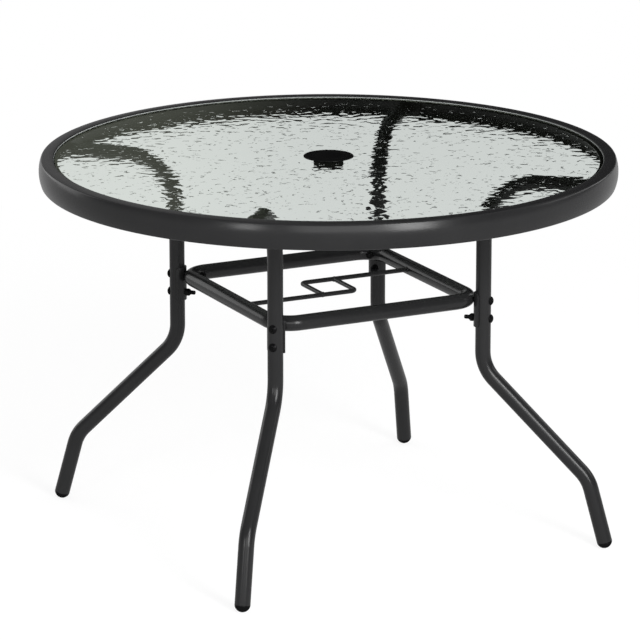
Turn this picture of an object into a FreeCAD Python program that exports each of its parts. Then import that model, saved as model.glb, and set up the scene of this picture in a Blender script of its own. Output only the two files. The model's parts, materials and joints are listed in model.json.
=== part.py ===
import FreeCAD, Part
import math
import os
import Sketcher

from FreeCAD import Placement, Rotation, Vector

# Round patio table with an umbrella hole: a rolled steel rim that carries a patterned glass top, four bent
# tube legs, a square tube brace bolted to the legs, and two bent rods that steady the umbrella's pole.
# Millimetres, +Z up, origin on the floor under the middle of the table. The legs stand on the diagonals.

# Driving sizes

SIZES = {
    # Whole table
    "table_height": 711.0,
    "rim_diameter": 1066.8,
    # Rolled rim
    "rim_height": 47.5,
    "rim_gauge": 1.5,
    "rim_bulge": 4.6,
    "rim_land_width": 26.4,
    "rim_lip_chamfer": 1.0,
    "rim_corner_chamfer": 2.0,
    "rim_hem_width": 9.0,
    "rim_shelf_width": 8.0,
    # Glass top
    "glass_thickness": 5.0,
    "glass_recess": 3.2,
    "glass_chamfer": 0.8,
    "glass_hole_radius": 28.5,
    "glass_fit": 0.3,
    # Vinyl strip round the edge of the glass
    "seal_web": 1.5,
    "seal_flange": 1.3,
    "seal_flange_width": 5.0,
    "seal_lip": 0.8,
    "seal_lip_width": 3.3,
    "seal_proud": 2.8,
    "seal_fit": 0.2,
    # Umbrella hole ring and its plug
    "ring_flange_radius": 46.4,
    "ring_flange_height": 2.2,
    "ring_flange_chamfer": 1.2,
    "ring_fit": 0.7,
    "pole_bore_radius": 20.5,
    "pole_bore_length": 14.0,
    "plug_recess": 1.6,
    "plug_head_radius": 31.0,
    "plug_spigot_radius": 24.6,
    "plug_spigot_wall": 2.0,
    "plug_spigot_length": 9.0,
    "plug_fit": 0.4,
    "plug_seat_gap": 0.2,
    # Tube legs
    "tube_radius": 14.3,
    "tube_wall": 1.5,
    "leg_circle_radius": 300.0,
    "leg_turn_angle": 4.5,
    "leg_top_drop": 29.0,
    "leg_top_bend": 100.0,
    "leg_low_bend": 75.0,
    "leg_knee_height": 362.7,
    "leg_splay_angle": 45.0,
    "leg_foot_angle": 15.3,
    "leg_foot_reach": 237.0,
    "leg_end_gap": 3.0,
    # Foot plugs
    "foot_dome_height": 12.0,
    "foot_band": 1.5,
    "foot_inset": 0.3,
    "foot_stem_length": 24.0,
    "foot_stem_fit": 0.3,
    # Sockets that join the legs to the rim
    "socket_fit": 0.3,
    "socket_length": 62.0,
    "socket_wall": 2.0,
    "socket_pad": 2.5,
    "socket_pad_angle": 6.5,
    "socket_pad_height": 30.0,
    "weld_gap": 0.1,
    "screw_radius": 3.0,
    "screw_length": 12.0,
    "screw_head_radius": 5.6,
    "screw_head_height": 3.0,
    "screw_head_chamfer": 1.0,
    "screw_inset": 36.0,
    "screw_fit": 0.3,
    # Square brace
    "brace_height": 459.0,
    "brace_corner": 43.6,
    # Saddle plates between brace and legs
    "saddle_thickness": 3.5,
    "saddle_fit": 0.1,
    "saddle_half_angle": 76.0,
    "saddle_height": 64.0,
    "saddle_corner": 6.0,
    # Brace bolts and nuts
    "bolt_radius": 4.0,
    "bolt_fit": 0.3,
    "bolt_spacing": 34.0,
    "upper_bolt_length": 70.0,
    "lower_bolt_length": 50.0,
    "bolt_head_radius": 8.5,
    "bolt_head_height": 5.0,
    "bolt_head_land": 1.2,
    "nut_width": 13.0,
    "nut_height": 6.5,
    "nut_seat_gap": 0.1,
    "thread_fit": 0.1,
    # Umbrella guide rods
    "rod_radius": 4.25,
    "rod_spread": 46.9,
    "rod_reach": 34.5,
    "rod_bend": 12.0,
}

LEG_ANGLES = {"right": -45.0, "back": 45.0, "left": 135.0, "front": 225.0}
LEAST_CUT = 0.5
NEARLY_LEVEL = 0.01
UP = Vector(0, 0, 1)


class Size:
    """A length or an angle: its value now, and the expression that gives it from the sheet."""

    def __init__(self, value, text):
        self.value = float(value)
        self.text = text

    def __add__(self, other):
        other = as_size(other)
        return Size(self.value + other.value, "(%s + %s)" % (self.text, other.text))

    def __sub__(self, other):
        other = as_size(other)
        return Size(self.value - other.value, "(%s - %s)" % (self.text, other.text))

    def __mul__(self, other):
        other = as_size(other)
        return Size(self.value * other.value, "(%s * %s)" % (self.text, other.text))

    def __truediv__(self, other):
        other = as_size(other)
        return Size(self.value / other.value, "(%s / %s)" % (self.text, other.text))

    def __neg__(self):
        return Size(-self.value, "(0 - %s)" % self.text)


def as_size(number):
    return number if isinstance(number, Size) else Size(number, repr(float(number)))


def cosine(angle):
    return Size(math.cos(math.radians(angle.value)), "cos(%s * 1 deg)" % angle.text)


def sine(angle):
    return Size(math.sin(math.radians(angle.value)), "sin(%s * 1 deg)" % angle.text)


def other_leg(longest, leg):
    """The third side of a right triangle."""
    rest = longest * longest - leg * leg
    return Size(math.sqrt(rest.value), "sqrt(%s)" % rest.text)


doc = FreeCAD.newDocument("patio_umbrella_table")
sheet = doc.addObject("Spreadsheet::Sheet", "sizes")
for row, (alias, number) in enumerate(SIZES.items(), start=1):
    sheet.set("A%d" % row, alias)
    sheet.set("B%d" % row, str(number))
    sheet.setAlias("B%d" % row, alias)
doc.recompute()


def size(alias):
    return Size(sheet.get(alias), "sizes.%s" % alias)


# Sizes that several pieces share

top = size("table_height")
rim_radius = size("rim_diameter") / 2
gauge = size("rim_gauge")
lip = rim_radius - size("rim_land_width")
rim_half = size("rim_height") / 2
rim_middle = top - rim_half
wall_curve = (rim_half * rim_half + size("rim_bulge") * size("rim_bulge")) / (size("rim_bulge") * 2)
wall_centre = rim_radius - wall_curve

glass_top = top - size("glass_recess")
glass_bottom = glass_top - size("glass_thickness")
seal_outside = lip - size("seal_fit")
seal_inside = seal_outside - size("seal_web")
glass_radius = seal_inside - size("glass_fit")
shelf_top = glass_bottom - size("seal_flange")

ring_face = glass_top + size("ring_flange_height")
plug_seat = ring_face - size("plug_recess")
pole_bore_top = plug_seat - size("plug_spigot_length") - size("plug_fit")

tube = size("tube_radius")
tube_bore = tube - size("tube_wall")
leg_circle = size("leg_circle_radius")
leg_turn = size("leg_turn_angle")
leg_run = top - size("leg_top_drop")
foot_angle = size("leg_foot_angle")
foot_reach = size("leg_foot_reach")
foot_dome = size("foot_dome_height")

# Under the glass a leg is turned from the radius, so its run passes beside the table's axis.
run_offset = leg_circle * sine(leg_turn)
run_start = leg_circle * cosine(leg_turn)
pad_curve = wall_curve - gauge - size("weld_gap")
pad_bottom = leg_run - size("socket_pad_height") / 2
pad_top = leg_run + size("socket_pad_height") / 2
pad_inner = wall_centre + other_leg(pad_curve, rim_middle - pad_bottom) - size("socket_pad")
pad_reach = other_leg(pad_inner, run_offset) - run_start
screw_reach = pad_reach - size("screw_inset")

brace_level = size("brace_height")
lower_level = brace_level - size("bolt_spacing")
saddle_inner = tube + size("saddle_fit")
saddle_outer = saddle_inner + size("saddle_thickness")
corner = size("brace_corner")
corner_reach = leg_circle - saddle_outer - size("weld_gap") - tube
brace_half = (corner_reach + corner * (math.sqrt(2) - 1)) / math.sqrt(2)
bolt_hole = size("bolt_radius") + size("bolt_fit")
nut_point = size("nut_width") / math.sqrt(3)
upper_nut_seat = corner_reach - corner + other_leg(corner - tube, nut_point) - size("nut_seat_gap")
lower_nut_seat = leg_circle - saddle_outer - size("nut_seat_gap")

rod = size("rod_radius")
rod_spread = size("rod_spread")
rod_reach = size("rod_reach")


# Tools that the sub-parts share

def bind(thing, path, amount):
    thing.setExpression(path, as_size(amount).text)


def new_body(name):
    body = doc.addObject("PartDesign::Body", name)
    body.Label = name
    return body


def new_sketch(body, name, role, shift=(0, 0, 0), turn=None):
    """A sketch on one of the body's own planes, shifted and turned in that plane's own axes."""
    sketch = body.newObject("Sketcher::SketchObject", name)
    plane = next(feature for feature in body.Origin.OriginFeatures if feature.Role == role)
    sketch.AttachmentSupport = [(plane, "")]
    sketch.MapMode = "FlatFace"
    axis, angle = turn or (UP, as_size(0))
    place = Vector(*[as_size(amount).value for amount in shift])
    sketch.AttachmentOffset = Placement(place, Rotation(axis, angle.value))
    for letter, amount in zip("xyz", shift):
        if isinstance(amount, Size):
            bind(sketch, "AttachmentOffset.Base." + letter, amount)
    if turn:
        sketch.setExpression("AttachmentOffset.Rotation.Angle", "%s * 1 deg" % angle.text)
    return sketch


def constrain(sketch, kind, *parts):
    """Adds a constraint. A size at its end is bound to the sheet."""
    if not isinstance(parts[-1], Size):
        sketch.addConstraint(Sketcher.Constraint(kind, *parts))
        return
    amount = parts[-1]
    number = math.radians(amount.value) if kind == "Angle" else amount.value
    index = sketch.addConstraint(Sketcher.Constraint(kind, *parts[:-1], number))
    sketch.setExpression("Constraints[%d]" % index, amount.text + (" * 1 deg" if kind == "Angle" else ""))


def pin_point(sketch, geometry, end, x, y):
    """Places one point of a sketch by its two coordinates."""
    for axis, kind, coordinate in ((-2, "DistanceX", x), (-1, "DistanceY", y)):
        if as_size(coordinate).value == 0:
            constrain(sketch, "PointOnObject", geometry, end, axis)
        else:
            constrain(sketch, kind, -1, 1, geometry, end, as_size(coordinate))


def add_circle(sketch, x, y, radius):
    centre = Vector(as_size(x).value, as_size(y).value, 0)
    circle = sketch.addGeometry(Part.Circle(centre, UP, radius.value))
    constrain(sketch, "Radius", circle, radius)
    pin_point(sketch, circle, 3, x, y)


def add_arc(sketch, start, finish, radius):
    """An arc from one point to another, counter-clockwise where the radius is positive."""
    turning = 1 if radius.value > 0 else -1
    chord = finish - start
    rise = math.sqrt(radius.value ** 2 - chord.Length ** 2 / 4)
    centre = (start + finish) / 2 + Vector(-chord.y, chord.x, 0).normalize() * (turning * rise)
    first, last = (start, finish) if turning > 0 else (finish, start)
    angles = [math.atan2(point.y - centre.y, point.x - centre.x) for point in (first, last)]
    if angles[1] < angles[0]:
        angles[1] += 2 * math.pi
    arc = sketch.addGeometry(Part.ArcOfCircle(Part.Circle(centre, UP, abs(radius.value)), *angles))
    constrain(sketch, "Radius", arc, radius if turning > 0 else -radius)
    return ((arc, 1), (arc, 2)) if turning > 0 else ((arc, 2), (arc, 1))


def add_path(sketch, points, arcs=None, closed=True):
    """Lines through points. Where arcs gives a radius for a point, an arc leaves it instead of a line."""
    arcs = arcs or {}
    places = [Vector(as_size(x).value, as_size(y).value, 0) for x, y in points]
    count = len(points) if closed else len(points) - 1
    ends = []
    for index in range(count):
        start, finish = places[index], places[(index + 1) % len(points)]
        if index in arcs:
            ends.append(add_arc(sketch, start, finish, arcs[index]))
        else:
            line = sketch.addGeometry(Part.LineSegment(start, finish))
            ends.append(((line, 1), (line, 2)))
    for index in range(count):
        if closed or index:
            constrain(sketch, "Coincident", *ends[index - 1][1], *ends[index][0])
        pin_point(sketch, *ends[index][0], *points[index])
    if not closed:
        pin_point(sketch, *ends[-1][1], *points[-1])


def add_hexagon(sketch, width, x, y):
    """A regular six-sided outline, given its width across flats and its middle."""
    point = width / math.sqrt(3)
    half = width / 2
    add_path(sketch, [
        (x, y + point), (x - half, y + point / 2), (x - half, y - point / 2),
        (x, y - point), (x + half, y - point / 2), (x + half, y + point / 2),
    ])


def turned(body, sketch, axis="V_Axis"):
    feature = body.newObject("PartDesign::Revolution", "Turned")
    feature.Profile = sketch
    feature.ReferenceAxis = (sketch, [axis])
    feature.Angle = 360
    return feature


def part_turned(body, sketch, angle):
    """Turns a section about the sketch's vertical axis through an angle, half to each side."""
    feature = turned(body, sketch)
    feature.Midplane = True
    bind(feature, "Angle", angle)
    return feature


def pad(body, sketch, length):
    feature = body.newObject("PartDesign::Pad", "Pad")
    feature.Profile = sketch
    bind(feature, "Length", length)


def pocket_through(body, sketch):
    """Cuts the sketch's outline through the whole body, both ways."""
    feature = body.newObject("PartDesign::Pocket", "Pocket")
    feature.Profile = sketch
    feature.SideType = "Symmetric"
    feature.Type = "ThroughAll"


def pocket_one_way(body, sketch, length, along_normal):
    feature = body.newObject("PartDesign::Pocket", "Pocket")
    feature.Profile = sketch
    feature.Reversed = along_normal
    bind(feature, "Length", length)


def sweep(body, profile, spine, kind="AdditivePipe"):
    feature = body.newObject("PartDesign::" + kind, "Sweep")
    feature.Profile = profile
    feature.Spine = (spine, ["Edge%d" % (index + 1) for index in range(spine.GeometryCount)])


def put(thing, turn, radius=0.0, own_turn=0.0):
    """Moves a piece out along the direction turn, and turns it by own_turn more about its own axis."""
    position = Rotation(UP, turn).multVec(Vector(radius, 0, 0))
    thing.Placement = Placement(position, Rotation(UP, turn + own_turn))


def put_on_leg(thing, angle):
    """Moves a piece made about a leg's vertical axis to that leg, into the plane of its bends."""
    put(thing, angle, leg_circle.value, leg_turn.value)


def group(name, bodies):
    """Identical fasteners as one node of separate solids."""
    compound = doc.addObject("Part::Compound", name)
    compound.Label = name
    compound.Links = bodies
    return compound


# Rim: one rolled strip, open below, with a bowed wall, a flat land and a shelf for the glass

def wall_at(rise, inset=0):
    """How far out the bowed wall is at a height above or below its middle, inset from its outer face."""
    return wall_centre + other_leg(wall_curve - inset, rise)


def make_rim():
    body = new_body("rim_frame")
    sketch = new_sketch(body, "RimSection", "XZ_Plane")
    chamfer = size("rim_corner_chamfer")
    lip_chamfer = size("rim_lip_chamfer")
    bottom = top - size("rim_height")
    inner_rise = rim_half - gauge
    outer_rise = rim_half - chamfer
    inner_corner = wall_at(inner_rise, gauge)
    outer_corner = wall_at(outer_rise)
    hem = outer_corner - size("rim_hem_width")
    shelf = lip - size("rim_shelf_width")
    add_path(sketch, [
        (shelf, shelf_top), (shelf, shelf_top - gauge), (lip + gauge, shelf_top - gauge),
        (lip + gauge, top - gauge), (inner_corner, top - gauge), (inner_corner, bottom + gauge),
        (hem, bottom + gauge), (hem, bottom), (outer_corner - chamfer, bottom), (outer_corner, bottom + chamfer),
        (outer_corner, top - chamfer), (outer_corner - chamfer, top), (lip + lip_chamfer, top),
        (lip, top - lip_chamfer), (lip, shelf_top),
    ], {4: gauge - wall_curve, 9: wall_curve})
    turned(body, sketch)
    return body


# Glass top with its umbrella hole, and the U-shaped vinyl strip that cushions its edge

def make_glass():
    body = new_body("glass_top")
    sketch = new_sketch(body, "GlassSection", "XZ_Plane")
    bevel = size("glass_chamfer")
    hole = size("glass_hole_radius")
    add_path(sketch, [
        (hole, glass_bottom + bevel), (hole + bevel, glass_bottom), (glass_radius - bevel, glass_bottom),
        (glass_radius, glass_bottom + bevel), (glass_radius, glass_top - bevel),
        (glass_radius - bevel, glass_top), (hole + bevel, glass_top), (hole, glass_top - bevel),
    ])
    turned(body, sketch)
    return body


def make_seal():
    body = new_body("glass_seal")
    sketch = new_sketch(body, "SealSection", "XZ_Plane")
    flange = seal_inside - size("seal_flange_width")
    tongue = seal_inside - size("seal_lip_width")
    crest = glass_top + size("seal_proud")
    tongue_top = glass_top + size("seal_lip")
    add_path(sketch, [
        (flange, shelf_top), (seal_outside, shelf_top), (seal_outside, crest), (seal_inside, crest),
        (seal_inside, tongue_top), (tongue, tongue_top), (tongue, glass_top), (seal_inside, glass_top),
        (seal_inside, glass_bottom), (flange, glass_bottom),
    ])
    turned(body, sketch)
    return body


# Umbrella hole: a flanged ring that drops into the glass, and the plug that closes it

def make_hole_ring():
    body = new_body("hole_ring")
    sketch = new_sketch(body, "RingSection", "XZ_Plane")
    sleeve = size("glass_hole_radius") - size("ring_fit")
    flange = size("ring_flange_radius")
    chamfer = size("ring_flange_chamfer")
    recess = size("plug_head_radius") + size("plug_fit")
    plug_bore = size("plug_spigot_radius") + size("plug_fit")
    pole_bore = size("pole_bore_radius")
    bottom = pole_bore_top - size("pole_bore_length")
    add_path(sketch, [
        (sleeve, glass_top), (flange, glass_top), (flange, ring_face - chamfer),
        (flange - chamfer, ring_face), (recess, ring_face), (recess, plug_seat), (plug_bore, plug_seat),
        (plug_bore, pole_bore_top), (pole_bore, pole_bore_top), (pole_bore, bottom), (sleeve, bottom),
    ])
    turned(body, sketch)
    return body


def make_hole_plug():
    body = new_body("hole_plug")
    sketch = new_sketch(body, "PlugSection", "XZ_Plane")
    head = size("plug_head_radius")
    spigot = size("plug_spigot_radius")
    hollow = spigot - size("plug_spigot_wall")
    under = plug_seat + size("plug_seat_gap")
    tip = plug_seat - size("plug_spigot_length")
    add_path(sketch, [
        (0, under), (hollow, under), (hollow, tip), (spigot, tip), (spigot, under), (head, under),
        (head, ring_face), (0, ring_face),
    ])
    turned(body, sketch)
    return body


# Legs: each one tube, bent three times in one plane

def make_leg(name, angle):
    body = new_body("leg_" + name)
    spine = new_sketch(body, "LegLine", "XZ_Plane")
    end = pad_reach - size("leg_end_gap")
    bend = size("leg_top_bend")
    low = size("leg_low_bend")
    knee = size("leg_knee_height")
    splay = math.radians(size("leg_splay_angle").value)
    lean = math.radians(foot_angle.value)
    tip_x = foot_reach - sine(foot_angle) * foot_dome
    tip_y = cosine(foot_angle) * foot_dome
    # Rough places for the solver: the splayed run and the foot's run meet at a corner that a bend rounds off.
    splayed = Vector(math.sin(splay), -math.cos(splay), 0)
    down = Vector(math.sin(lean), -math.cos(lean), 0)
    knee_end = Vector(low.value * (1 - math.cos(splay)), knee.value - low.value * math.sin(splay), 0)
    gap = Vector(tip_x.value, tip_y.value, 0) - knee_end
    reach = (gap.x * down.y - gap.y * down.x) / (splayed.x * down.y - splayed.y * down.x)
    meeting = knee_end + splayed * reach
    setback = low.value * math.tan((splay - lean) / 2)
    bend_start = meeting - splayed * setback
    bend_centre = bend_start - Vector(math.cos(splay), math.sin(splay), 0) * low.value
    top_centre = Vector(bend.value, leg_run.value - bend.value, 0)
    knee_centre = Vector(low.value, knee.value, 0)
    lines = [
        Part.LineSegment(Vector(end.value, leg_run.value, 0), Vector(bend.value, leg_run.value, 0)),
        Part.ArcOfCircle(Part.Circle(top_centre, UP, bend.value), math.pi / 2, math.pi),
        Part.LineSegment(Vector(0, leg_run.value - bend.value, 0), Vector(0, knee.value, 0)),
        Part.ArcOfCircle(Part.Circle(knee_centre, UP, low.value), math.pi, math.pi + splay),
        Part.LineSegment(knee_end, bend_start),
        Part.ArcOfCircle(Part.Circle(bend_centre, UP, low.value), lean, splay),
        Part.LineSegment(meeting + down * setback, Vector(tip_x.value, tip_y.value, 0)),
    ]
    run, top_arc, shaft, knee_arc, splay_line, foot_arc, foot_line = [spine.addGeometry(line) for line in lines]
    constrain(spine, "Tangent", run, 2, top_arc, 1)
    constrain(spine, "Tangent", top_arc, 2, shaft, 1)
    constrain(spine, "Tangent", shaft, 2, knee_arc, 1)
    constrain(spine, "Tangent", knee_arc, 2, splay_line, 1)
    constrain(spine, "Tangent", splay_line, 2, foot_arc, 2)
    constrain(spine, "Tangent", foot_arc, 1, foot_line, 1)
    constrain(spine, "Horizontal", run)
    constrain(spine, "Vertical", shaft)
    constrain(spine, "PointOnObject", shaft, 2, -2)
    pin_point(spine, run, 1, end, leg_run)
    constrain(spine, "Radius", top_arc, bend)
    constrain(spine, "Radius", knee_arc, low)
    constrain(spine, "Radius", foot_arc, low)
    constrain(spine, "DistanceY", -1, 1, shaft, 2, knee)
    constrain(spine, "Angle", splay_line, size("leg_splay_angle") - 90)
    constrain(spine, "Angle", foot_line, foot_angle - 90)
    pin_point(spine, foot_line, 2, tip_x, tip_y)
    profile = new_sketch(body, "TubeSection", "YZ_Plane", (0, leg_run, end))
    add_circle(profile, 0, 0, tube)
    add_circle(profile, 0, 0, tube_bore)
    sweep(body, profile, spine)
    # The brace bolts follow the table's radius, not the plane of the bends.
    holes = new_sketch(body, "BoltHoles", "YZ_Plane", turn=(Vector(0, 1, 0), -leg_turn))
    for level in (brace_level, lower_level):
        add_circle(holes, 0, level, bolt_hole)
    pocket_through(body, holes)
    screw_hole = new_sketch(body, "ScrewHole", "XY_Plane", (0, 0, leg_run - tube * 2))
    add_circle(screw_hole, screw_reach, 0, size("screw_radius") + size("screw_fit"))
    pocket_one_way(body, screw_hole, tube * 2, True)
    put_on_leg(body, angle)
    return body


# Feet: domed plugs pushed into the tubes by a stem, cut flat where they meet the floor

def make_foot(name, angle):
    body = new_body("foot_" + name)
    section = new_sketch(body, "FootSection", "XZ_Plane", (foot_reach, 0, 0), (UP, foot_angle))
    edge = tube - size("foot_inset")
    shoulder = foot_dome - size("foot_band")
    stem = tube_bore - size("foot_stem_fit")
    stem_end = foot_dome + size("foot_stem_length")
    dome_radius = (edge * edge + shoulder * shoulder) / (shoulder * 2)
    add_path(section, [
        (0, 0), (edge, shoulder), (edge, foot_dome), (stem, foot_dome), (stem, stem_end), (0, stem_end),
    ], {0: dome_radius})
    turned(body, section)
    floor = new_sketch(body, "FloorCut", "XY_Plane")
    add_circle(floor, foot_reach, 0, tube * 2)
    pocket_one_way(body, floor, foot_dome, False)
    put_on_leg(body, angle)
    return body


# Sockets: a pad welded to the inside of the rim, with a stub of tube that fills the end of a leg

def make_socket(name, angle):
    body = new_body("rim_socket_" + name)
    bearing = math.degrees(math.asin(run_offset.value / pad_inner.value))
    toward = Size(-bearing, "(0 - asin(%s / %s) / 1 deg)" % (run_offset.text, pad_inner.text))
    section = new_sketch(body, "PadSection", "XZ_Plane", turn=(Vector(0, 1, 0), toward))
    add_path(section, [
        (pad_inner, pad_bottom), (wall_centre + other_leg(pad_curve, rim_middle - pad_bottom), pad_bottom),
        (wall_centre + other_leg(pad_curve, pad_top - rim_middle), pad_top), (pad_inner, pad_top),
    ], {1: pad_curve})
    part_turned(body, section, size("socket_pad_angle"))
    outside = tube_bore - size("socket_fit")
    near_end = run_start + pad_reach - size("socket_length")
    stub = new_sketch(body, "StubSection", "YZ_Plane", (-run_offset, leg_run, near_end))
    add_circle(stub, 0, 0, outside)
    add_circle(stub, 0, 0, outside - size("socket_wall"))
    pad(body, stub, size("socket_length") + size("socket_pad") / 2)
    screw_hole = new_sketch(body, "ScrewHole", "XY_Plane", (0, 0, leg_run - tube * 2))
    add_circle(screw_hole, run_start + screw_reach, -run_offset, size("screw_radius") + size("thread_fit"))
    pocket_one_way(body, screw_hole, tube * 2, True)
    put(body, angle, 0.0, leg_turn.value)
    return body


def make_screw(name, angle):
    body = new_body("socket_screw_" + name)
    section = new_sketch(body, "ScrewSection", "XZ_Plane", (screw_reach, 0, 0))
    head = size("screw_head_radius")
    chamfer = size("screw_head_chamfer")
    shank = size("screw_radius")
    seat = leg_run - tube
    face = seat - size("screw_head_height")
    tip = seat + size("screw_length")
    add_path(section, [
        (0, face), (head - chamfer, face), (head, face + chamfer), (head, seat), (shank, seat),
        (shank, tip), (0, tip),
    ])
    turned(body, section)
    put_on_leg(body, angle)
    return body


# Brace: one tube bent into a square, with a saddle plate and a bolt at each rounded corner

def make_brace():
    body = new_body("brace_ring")
    spine = new_sketch(body, "BraceLine", "XY_Plane", (0, 0, brace_level))
    straight = brace_half - corner
    add_path(spine, [
        (brace_half, -straight), (brace_half, straight), (straight, brace_half), (-straight, brace_half),
        (-brace_half, straight), (-brace_half, -straight), (-straight, -brace_half), (straight, -brace_half),
    ], {1: corner, 3: corner, 5: corner, 7: corner})
    for kind, radius in (("AdditivePipe", tube), ("SubtractivePipe", tube_bore)):
        profile = new_sketch(body, "TubeSection", "XZ_Plane", (brace_half, brace_level, straight))
        add_circle(profile, 0, 0, radius)
        sweep(body, profile, spine, kind)
    for diagonal in (45.0, -45.0):
        holes = new_sketch(body, "BoltHoles", "YZ_Plane", turn=(Vector(0, 1, 0), as_size(diagonal)))
        add_circle(holes, 0, brace_level, bolt_hole)
        pocket_through(body, holes)
    return body


# Saddle plates: curved plates between the legs and the corners of the brace

def make_saddle(name, angle):
    body = new_body("saddle_plate_" + name)
    section = new_sketch(body, "SaddleSection", "XZ_Plane")
    middle = (brace_level + lower_level) / 2
    half = size("saddle_height") / 2
    add_path(section, [
        (saddle_inner, middle - half), (saddle_outer, middle - half),
        (saddle_outer, middle + half), (saddle_inner, middle + half),
    ])
    plate = part_turned(body, section, size("saddle_half_angle") * 2)
    doc.recompute()
    corners = []
    for index, edge in enumerate(plate.Shape.Edges, start=1):
        ends = [vertex.Point.z for vertex in edge.Vertexes]
        if edge.Curve.TypeId == "Part::GeomLine" and abs(ends[0] - ends[1]) < NEARLY_LEVEL:
            corners.append("Edge%d" % index)
    rounding = body.newObject("PartDesign::Fillet", "Corners")
    rounding.Base = (plate, corners)
    bind(rounding, "Radius", size("saddle_corner"))
    holes = new_sketch(body, "BoltHoles", "YZ_Plane")
    for level in (brace_level, lower_level):
        add_circle(holes, 0, level, bolt_hole)
    pocket_through(body, holes)
    put(body, angle, leg_circle.value, 180.0)
    return body


# Brace fasteners: round-headed bolts put in from outside the legs, and hexagon nuts on the inside

def make_bolt(name, level, length, angle):
    body = new_body(name)
    section = new_sketch(body, "BoltSection", "XZ_Plane", (0, level, 0))
    seat = leg_circle + tube
    shank = size("bolt_radius")
    head = size("bolt_head_radius")
    land = size("bolt_head_land")
    dome = size("bolt_head_height") - land
    crown = (head * head + dome * dome) / (dome * 2)
    tip = seat - length
    add_path(section, [
        (tip, 0), (seat + land + dome, 0), (seat + land, head), (seat, head), (seat, shank), (tip, shank),
    ], {1: crown})
    turned(body, section, "H_Axis")
    put(body, angle)
    return body


def make_nut(name, level, seat, angle):
    body = new_body(name)
    outline = new_sketch(body, "NutOutline", "YZ_Plane", (0, 0, seat - size("nut_height")))
    add_hexagon(outline, size("nut_width"), as_size(0), level)
    add_circle(outline, 0, level, size("bolt_radius") + size("thread_fit"))
    pad(body, outline, size("nut_height"))
    put(body, angle)
    return body


# Guide rods: each is welded to one bar of the brace and bent to end on the other rod

def make_rod(name, turn):
    body = new_body("guide_rod_" + name)
    bend = size("rod_bend")
    bar_end = tube - rod / 2 - brace_half
    rod_end = rod_spread - rod / 2
    spine = new_sketch(body, "RodLine", "XY_Plane", (0, 0, brace_level))
    add_path(spine, [
        (bar_end, -rod_spread), (rod_reach - bend, -rod_spread), (rod_reach, bend - rod_spread),
        (rod_reach, rod_end),
    ], {1: bend}, closed=False)
    profile = new_sketch(body, "RodSection", "YZ_Plane", (-rod_spread, brace_level, bar_end))
    add_circle(profile, 0, 0, rod)
    sweep(body, profile, spine)
    bar_cope = new_sketch(body, "BarCope", "XZ_Plane")
    add_circle(bar_cope, -brace_half, brace_level, tube + size("weld_gap"))
    pocket_through(body, bar_cope)
    rod_cope = new_sketch(body, "RodCope", "YZ_Plane")
    add_circle(rod_cope, rod_spread, brace_level, rod + size("weld_gap"))
    pocket_through(body, rod_cope)
    put(body, turn)
    return body


def make_all():
    """Every sub-part, one object to each node."""
    parts = [make_rim(), make_glass(), make_seal(), make_hole_ring(), make_hole_plug(), make_brace()]
    parts += [make_rod("front", 0.0), make_rod("rear", 180.0)]
    upper_bolts, lower_bolts, upper_nuts, lower_nuts, screws = [], [], [], [], []
    for name, angle in LEG_ANGLES.items():
        parts += [make_leg(name, angle), make_foot(name, angle), make_socket(name, angle), make_saddle(name, angle)]
        upper_bolts.append(make_bolt("upper_bolt_" + name, brace_level, size("upper_bolt_length"), angle))
        lower_bolts.append(make_bolt("lower_bolt_" + name, lower_level, size("lower_bolt_length"), angle))
        upper_nuts.append(make_nut("upper_nut_" + name, brace_level, upper_nut_seat, angle))
        lower_nuts.append(make_nut("lower_nut_" + name, lower_level, lower_nut_seat, angle))
        screws.append(make_screw(name, angle))
    parts += [
        group("upper_brace_bolts", upper_bolts), group("lower_brace_bolts", lower_bolts),
        group("upper_brace_nuts", upper_nuts), group("lower_brace_nuts", lower_nuts),
        group("socket_screws", screws),
    ]
    return parts


def check_model(parts):
    """Stops before anything is written if a feature failed, a cut missed, or a sub-part isn't sound."""
    for thing in doc.Objects:
        if "Invalid" in thing.State or "Error" in thing.State:
            raise RuntimeError("%s failed: %s" % (thing.Name, thing.State))
        if thing.TypeId in ("PartDesign::Pocket", "PartDesign::SubtractivePipe"):
            removed = thing.BaseFeature.Shape.Volume - thing.Shape.Volume
            if removed < LEAST_CUT:
                raise RuntimeError("%s in %s cuts nothing" % (thing.Name, thing.getParent().Label))
        if thing.TypeId == "PartDesign::Body" and len(thing.Shape.Solids) != 1:
            raise RuntimeError("%s is in %d pieces" % (thing.Label, len(thing.Shape.Solids)))
    for part in parts:
        if part.Shape.isNull() or not part.Shape.isValid():
            raise RuntimeError("%s is not a valid shape" % part.Label)


parts = make_all()
doc.recompute()
check_model(parts)
os.makedirs("parts", exist_ok=True)
for part in parts:
    part.Shape.exportStep("parts/%s.step" % part.Label)
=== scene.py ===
import json
import math

import bmesh
import bpy
from mathutils import Matrix, Vector, noise


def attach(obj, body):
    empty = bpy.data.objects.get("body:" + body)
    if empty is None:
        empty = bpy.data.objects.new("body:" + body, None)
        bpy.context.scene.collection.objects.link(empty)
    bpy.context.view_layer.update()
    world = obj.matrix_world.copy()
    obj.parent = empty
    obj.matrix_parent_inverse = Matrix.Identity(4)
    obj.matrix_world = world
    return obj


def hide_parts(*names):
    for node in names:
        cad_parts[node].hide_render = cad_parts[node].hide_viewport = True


# Looks of the round patio table. The frame is in metres, +Z up. Shapes below are in millimetres.

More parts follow.
